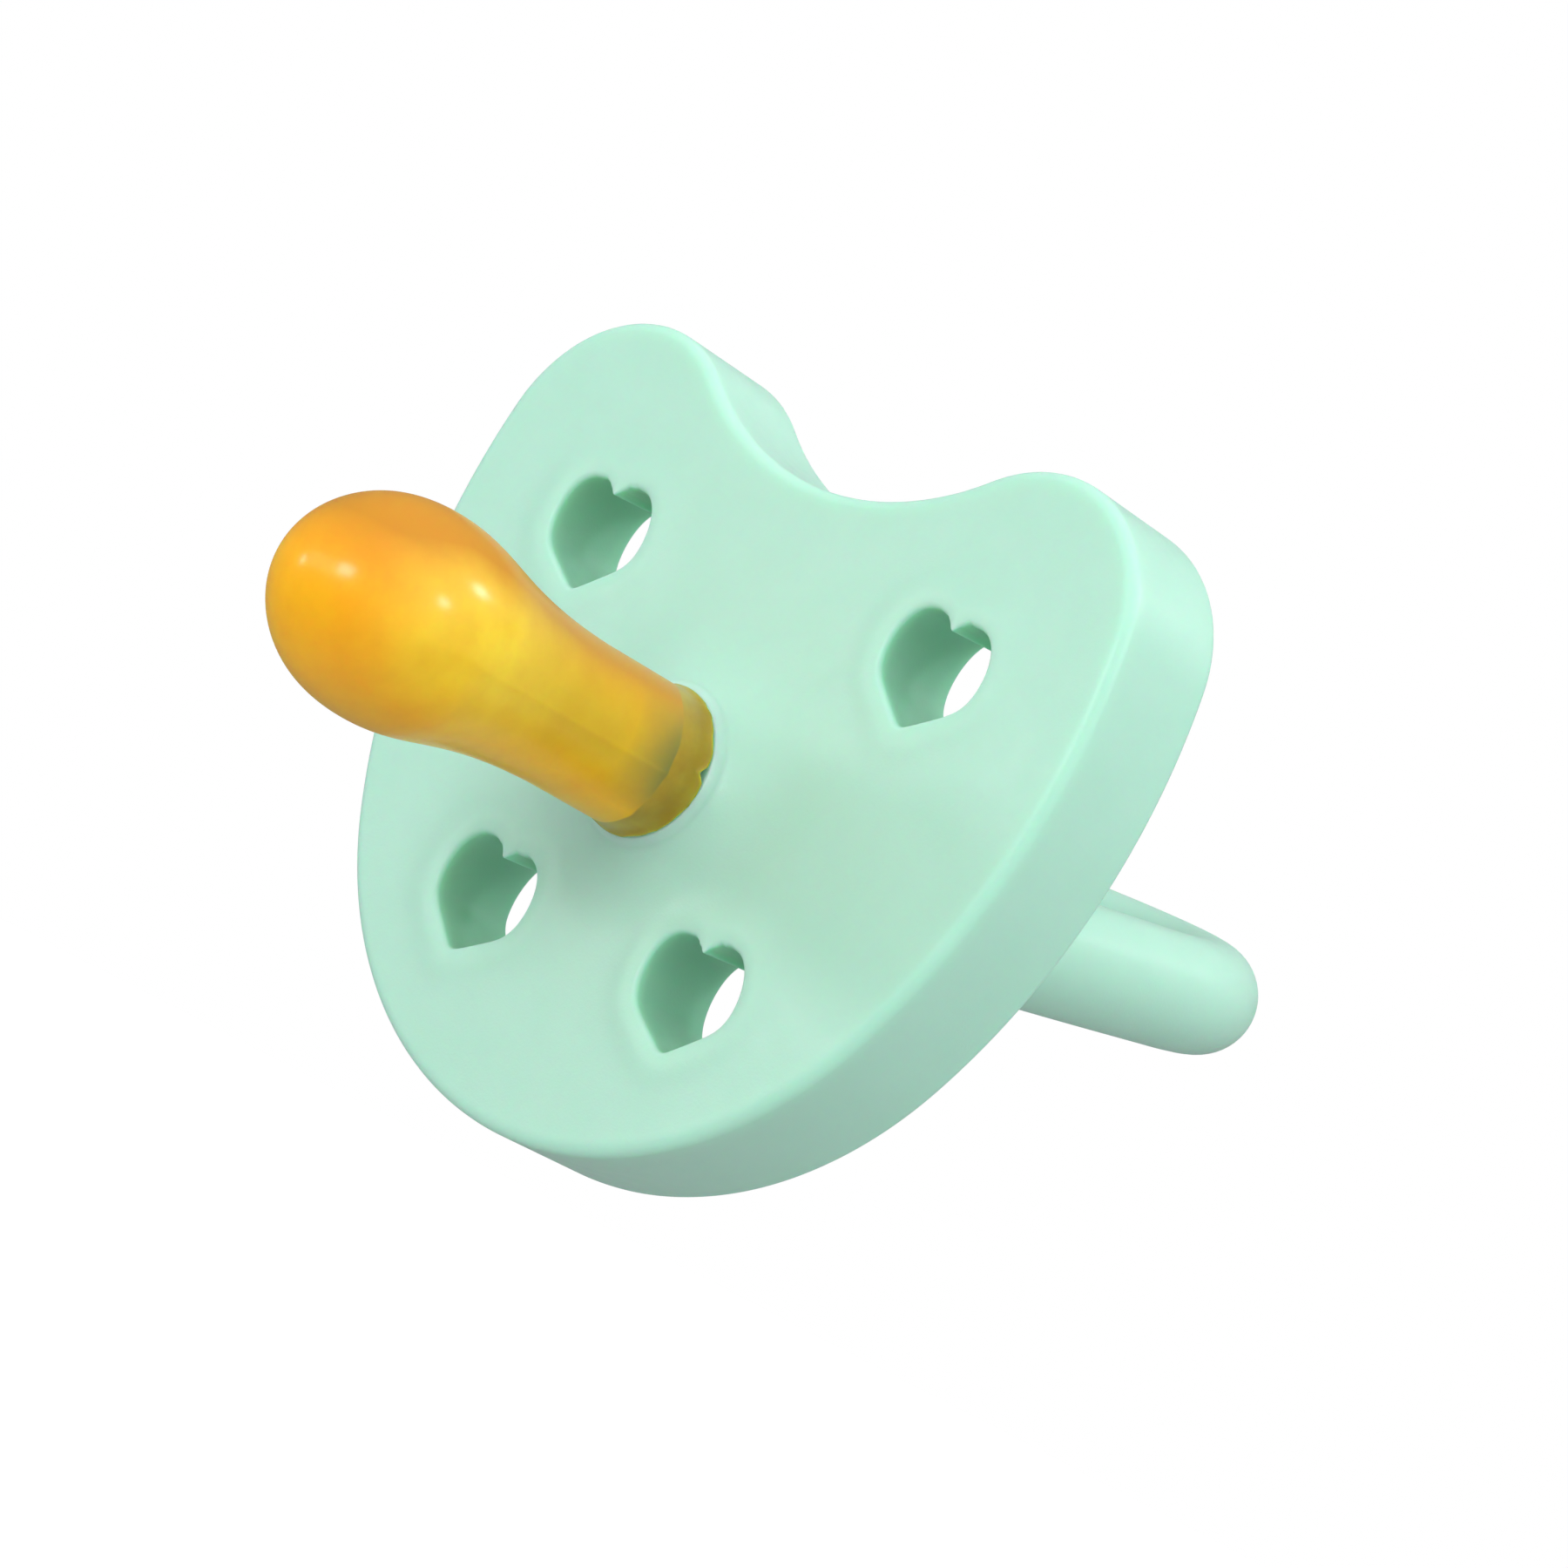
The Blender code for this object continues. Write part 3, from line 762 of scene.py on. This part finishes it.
def handle_stations():
    """Centre, tube direction and radius along the loop, in its own level plane."""
    half = HANDLE_HALF - TUBE_RADIUS
    reach = (HANDLE_END_Y - FOLD.y - TUBE_RADIUS) / math.cos(HANDLE_LEAN) + TUBE_RADIUS
    straight = reach - HANDLE_HALF
    outwards = Vector((0.0, 1.0, 0.0))
    stations = []
    start = ROOT_DEPTH / math.cos(HANDLE_LEAN)
    for step in range(14):
        share = step / 13
        depth = start + ROOT_FILLET * share
        flare = ROOT_FILLET * (1.0 - math.sqrt(1.0 - (1.0 - share) ** 2)) * ROOT_FLARE
        stations.append((Vector((half, depth, 0.0)), outwards, TUBE_RADIUS + flare))
    first = start + ROOT_FILLET
    for step in range(1, 30):
        share = step / 30
        belly = TUBE_BELLY * math.sin(math.pi * share)
        spot = Vector((half, first + (straight - first) * share, 0.0))
        stations.append((spot, outwards, TUBE_RADIUS + belly))
    for step in range(41):
        angle = math.pi * step / 80
        spot = Vector((half * math.cos(angle), straight + half * math.sin(angle), 0.0))
        stations.append((spot, Vector((-math.sin(angle), math.cos(angle), 0.0)), TUBE_RADIUS))
    mirrored = []
    for spot, way, radius in reversed(stations[:-1]):
        mirrored.append((Vector((-spot.x, spot.y, 0.0)), Vector((way.x, -way.y, 0.0)), radius))
    return stations + mirrored


def build_handle(material):
    """The loop, leaning up from its folding axis, with two roots cut level with the back."""
    skin = Skin()
    lean = Vector((0.0, math.cos(HANDLE_LEAN), math.sin(HANDLE_LEAN)))
    up = Vector((0.0, -math.sin(HANDLE_LEAN), math.cos(HANDLE_LEAN)))
    rings = []
    for spot, way, radius in handle_stations():
        centre = FOLD + spot.x * Vector((1.0, 0.0, 0.0)) + spot.y * lean
        along = way.x * Vector((1.0, 0.0, 0.0)) + way.y * lean
        across = along.cross(up)
        level = 1.0 - float(smoothstep(ROOT_LEVEL, ROOT_EASE, spot.y))
        rise = up + level * math.tan(HANDLE_LEAN) * lean
        ring = []
        for side in range(TUBE_SIDES):
            angle = 2.0 * math.pi * side / TUBE_SIDES
            ring.append(centre + radius * (math.cos(angle) * across + math.sin(angle) * rise))
        # Painted shade at each root, where the loop meets the shield, fading out past the
        # fillet.
        root_shade = 1.0 - float(smoothstep(-ROOT_FILLET, 0.5 * ROOT_FILLET, spot.y))
        rings.append(skin.ring(ring, root_shade))
    skin.loft(rings)
    for ring in (rings[0], rings[-1]):
        middle = sum((Vector(skin.points[index]) for index in ring), Vector()) / len(ring)
        skin.close(ring, middle)
    return skin.build("handle_tube", material)


# ---------------------------------------------------------------- materials


def new_material(name):
    """An empty node material and its Principled shader."""
    material = bpy.data.materials.new(name)
    material.use_nodes = True
    return material, material.node_tree, material.node_tree.nodes["Principled BSDF"]


def object_noise(tree, scale, detail=3.0):
    """Noise fixed to the object; scale is in cycles per metre."""
    place = tree.nodes.new("ShaderNodeTexCoord")
    texture = tree.nodes.new("ShaderNodeTexNoise")
    texture.inputs["Scale"].default_value = scale
    texture.inputs["Detail"].default_value = detail
    tree.links.new(place.outputs["Object"], texture.inputs["Vector"])
    return texture.outputs["Fac"]


def between(tree, factor, low, high, from_low=0.3, from_high=0.7):
    """Map a factor to a range of numbers."""
    node = tree.nodes.new("ShaderNodeMapRange")
    node.inputs["From Min"].default_value = from_low
    node.inputs["From Max"].default_value = from_high
    node.inputs["To Min"].default_value = low
    node.inputs["To Max"].default_value = high
    tree.links.new(factor, node.inputs["Value"])
    return node.outputs["Result"]


def maths(tree, operation, first, second):
    """One math node; its inputs are numbers or sockets."""
    node = tree.nodes.new("ShaderNodeMath")
    node.operation = operation
    for socket, value in zip(node.inputs, (first, second)):
        if isinstance(value, float):
            socket.default_value = value
        else:
            tree.links.new(value, socket)
    return node.outputs["Value"]


def mixed(tree, factor, first, second):
    """Mix two colours, given as RGB or as sockets, by a factor socket."""
    node = tree.nodes.new("ShaderNodeMix")
    node.data_type = "RGBA"
    tree.links.new(factor, node.inputs["Factor"])
    for socket, colour in ((node.inputs[6], first), (node.inputs[7], second)):
        if isinstance(colour, tuple):
            socket.default_value = (*colour, 1.0)
        else:
            tree.links.new(colour, socket)
    return node.outputs[2]


def bumped(tree, shader, height, distance, strength):
    """Fine surface relief from a height socket."""
    node = tree.nodes.new("ShaderNodeBump")
    node.inputs["Distance"].default_value = distance
    node.inputs["Strength"].default_value = strength
    tree.links.new(height, node.inputs["Height"])
    tree.links.new(node.outputs["Normal"], shader.inputs["Normal"])


def mint_rubber(name, cloud_colour):
    """Matt-satin natural rubber: even mint, faintly cloudy, with a fine moulded grain."""
    material, tree, shader = new_material(name)
    cloud = between(tree, object_noise(tree, CLOUD_SCALE), 0.0, 1.0)
    surface = mixed(tree, cloud, MINT, cloud_colour)
    # Painted shade: darker, deeper green deep inside the vents and at the handle's roots.
    depth = tree.nodes.new("ShaderNodeAttribute")
    depth.attribute_name = SHADE_DEPTH
    inner = mixed(tree, depth.outputs["Fac"], surface, SHADED_MINT)
    tree.links.new(inner, shader.inputs["Base Color"])
    patches = object_noise(tree, PATCH_SCALE)
    tree.links.new(between(tree, patches, 0.31, 0.41), shader.inputs["Roughness"])
    shader.inputs["Subsurface Weight"].default_value = 1.0
    shader.inputs["Subsurface Radius"].default_value = (0.35, 1.0, 0.62)
    shader.inputs["Subsurface Scale"].default_value = 1.4 * MM
    shader.inputs["Specular IOR Level"].default_value = 0.3
    bumped(tree, shader, object_noise(tree, GRAIN_SCALE, 2.0), 0.02 * MM, 0.35)
    return material


def latex_colour(tree):
    """Amber: deeper above, lighter below, painted light in bands at the mould lines, olive at
    the foot.
    """
    place = tree.nodes.new("ShaderNodeTexCoord")
    split = tree.nodes.new("ShaderNodeSeparateXYZ")
    tree.links.new(place.outputs["Object"], split.inputs["Vector"])
    across, along, up = (split.outputs[axis] for axis in "XYZ")
    cloud = object_noise(tree, CLOUD_SCALE)
    amber_by_height = mixed(tree, between(tree, up, 0.0, 1.0, 0.0, AMBER_FADE_HEIGHT), LATEX_LOWER, LATEX_UPPER)
    squares = [maths(tree, "MULTIPLY", axis, axis) for axis in (across, up)]
    radius = maths(tree, "SQRT", maths(tree, "ADD", *squares), 0.0)
    level = maths(tree, "DIVIDE", maths(tree, "ABSOLUTE", across, 0.0), radius)
    level = maths(tree, "ADD", level, maths(tree, "MULTIPLY", cloud, 0.16))
    # Painted light: lighter yellow bands down both sides, along the mould lines, where light
    # shines through the latex.
    side_glow = between(tree, level, 0.0, 1.0, *SIDE_GLOW_SPAN)
    off_tip = between(tree, along, 0.0, 1.0, TIP_Y + TIP_SPAN[0], TIP_Y + TIP_SPAN[1])
    in_neck = between(tree, along, 0.0, 1.0, TIP_Y + NECK_SPAN[0], TIP_Y + NECK_SPAN[1])
    side_glow_colour = mixed(tree, in_neck, LATEX_SIDE_GLOW, LATEX_NECK_SIDE_GLOW)
    wall = mixed(tree, maths(tree, "MULTIPLY", side_glow, off_tip), amber_by_height, side_glow_colour)
    mottle = between(tree, object_noise(tree, MOTTLE_SCALE), 0.0, LATEX_MOTTLE)
    wall = mixed(tree, mottle, wall, LATEX_UPPER)
    edge = BOSS_TOP_Y - CORE_BAND
    shade_start, shade_end = (edge - gap for gap in SHADE_SPAN)
    inside_neck = between(tree, along, 0.0, SHADE_SHARE, shade_start, shade_end)
    shaded = mixed(tree, maths(tree, "MULTIPLY", inside_neck, side_glow), wall, LATEX_SHADE)
    ragged = maths(tree, "MULTIPLY", maths(tree, "SUBTRACT", cloud, 0.5), SKIRT_WAVE)
    ragged = maths(tree, "ADD", ragged, maths(tree, "MULTIPLY", level, SKIRT_SLANT))
    place_along = maths(tree, "ADD", along, ragged)
    over_stub = between(tree, place_along, 0.0, 1.0, edge, edge + SKIRT_BLUR)
    blotch = between(tree, object_noise(tree, BLOTCH_SCALE), 0.0, 1.0)
    skirt = mixed(tree, blotch, LATEX_SKIRT, LATEX_SKIRT_DARK)
    return mixed(tree, over_stub, shaded, skirt)


def amber_latex():
    """Dipped natural latex: cloudy amber that scatters light and shines softly."""
    material, tree, shader = new_material("amber_latex")
    tree.links.new(latex_colour(tree), shader.inputs["Base Color"])
    shader.inputs["Specular IOR Level"].default_value = 0.12
    shader.inputs["Roughness"].default_value = 0.45
    shader.inputs["Subsurface Weight"].default_value = 1.0
    shader.inputs["Subsurface Radius"].default_value = (1.0, 0.45, 0.06)
    shader.inputs["Subsurface Scale"].default_value = 1.4 * MM
    shader.inputs["Coat Weight"].default_value = 0.45
    shader.inputs["Coat Roughness"].default_value = 0.2
    bumped(tree, shader, object_noise(tree, SKIN_SCALE, 2.0), 0.02 * MM, 0.15)
    return material


# ---------------------------------------------------------------- studio


def add_camera():
    """The camera on its orbit, rolled about its own view."""
    back = orbit(CAMERA_AZIMUTH, CAMERA_ELEVATION)
    data = bpy.data.cameras.new("camera")
    data.lens = CAMERA_LENS
    data.sensor_width = 36.0
    data.clip_start = 0.01
    data.clip_end = 20.0
    item = bpy.data.objects.new("camera", data)
    bpy.context.scene.collection.objects.link(item)
    item.location = CAMERA_AIM + CAMERA_DISTANCE * back
    turn = (-back).to_track_quat("-Z", "Y").to_matrix().to_4x4()
    roll = Matrix.Rotation(CAMERA_ROLL, 4, "Z")
    item.rotation_mode = "QUATERNION"
    item.rotation_quaternion = (turn @ roll).to_quaternion()
    bpy.context.scene.camera = item


def add_softbox(name, azimuth, elevation, width, height, power):
    """A rectangular area light on an orbit, facing the object."""
    data = bpy.data.lights.new(name, "AREA")
    data.shape = "RECTANGLE"
    data.size = width
    data.size_y = height
    data.energy = power
    item = bpy.data.objects.new(name, data)
    bpy.context.scene.collection.objects.link(item)
    back = orbit(math.radians(azimuth), math.radians(elevation))
    item.location = CAMERA_AIM + SOFTBOX_DISTANCE * back
    item.rotation_mode = "QUATERNION"
    item.rotation_quaternion = (-back).to_track_quat("-Z", "Y")


def add_sky():
    """White surroundings: an even base and soft patches that light each side."""
    world = bpy.data.worlds.new("studio")
    bpy.context.scene.world = world
    world.use_nodes = True
    tree = world.node_tree
    place = tree.nodes.new("ShaderNodeTexCoord")
    total = SKY_BASE
    for azimuth, elevation, strength in SKY_PATCHES:
        towards = tree.nodes.new("ShaderNodeVectorMath")
        towards.operation = "DOT_PRODUCT"
        towards.inputs[1].default_value = orbit(math.radians(azimuth), math.radians(elevation))
        tree.links.new(place.outputs["Generated"], towards.inputs[0])
        facing = maths(tree, "MAXIMUM", towards.outputs["Value"], 0.0)
        patch = maths(tree, "MULTIPLY", maths(tree, "POWER", facing, SKY_FALL), strength)
        total = maths(tree, "ADD", patch, total)
    tree.links.new(total, tree.nodes["Background"].inputs["Strength"])
    tree.nodes["Background"].inputs["Color"].default_value = (1.0, 1.0, 1.0, 1.0)


def add_studio():
    """White surroundings, softboxes and a pale floor below the object."""
    add_sky()
    for softbox in SOFTBOXES:
        add_softbox(*softbox)
    bpy.context.scene.view_settings.view_transform = "Standard"
    add_backdrop()


def stage_material(name, grey, glow):
    """A plain pale matt surface that also glows a little."""
    material, tree, shader = new_material(name)
    shader.inputs["Base Color"].default_value = (grey, grey, grey, 1.0)
    shader.inputs["Roughness"].default_value = 0.9
    shader.inputs["Specular IOR Level"].default_value = 0.0
    shader.inputs["Emission Color"].default_value = (1.0, 1.0, 1.0, 1.0)
    shader.inputs["Emission Strength"].default_value = glow
    return material


def stage_object(name, builder, material):
    """A stage piece that the camera sees but that lights and shades nothing."""
    mesh = bpy.data.meshes.new(name)
    builder.to_mesh(mesh)
    builder.free()
    mesh.materials.append(material)
    item = bpy.data.objects.new(name, mesh)
    bpy.context.scene.collection.objects.link(item)
    item.visible_diffuse = False
    item.visible_glossy = False
    item.visible_shadow = False


def add_backdrop():
    """A pale floor under the object and a white dome round it."""
    builder = bmesh.new()
    bmesh.ops.create_circle(builder, cap_ends=True, radius=DOME_RADIUS, segments=64)
    drop = Matrix.Translation((0.0, 0.0, cad_low.z - FLOOR_DROP))
    bmesh.ops.transform(builder, matrix=drop, verts=builder.verts)
    stage_object("floor", builder, stage_material("pale_floor", FLOOR_GREY, FLOOR_GLOW))
    builder = bmesh.new()
    bmesh.ops.create_uvsphere(builder, u_segments=48, v_segments=24, radius=DOME_RADIUS)
    stage_object("dome", builder, stage_material("white_dome", 0.0, 1.0))


# ---------------------------------------------------------------- assembly

mint = mint_rubber("mint_rubber", MINT_CLOUD)
core_mint = mint_rubber("core_rubber", CORE_CLOUD)
latex = amber_latex()

shield = build_shield(mint)
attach(shield, "shield")
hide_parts("shield")

core = build_core(core_mint)
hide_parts("neck_stub")

teat = build_teat(latex)
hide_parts("teat", "neck_collar")

for piece in (core, teat):
    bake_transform(piece)

handle = build_handle(mint)
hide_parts("handle_loop")
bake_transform(handle)

add_camera()
add_studio()
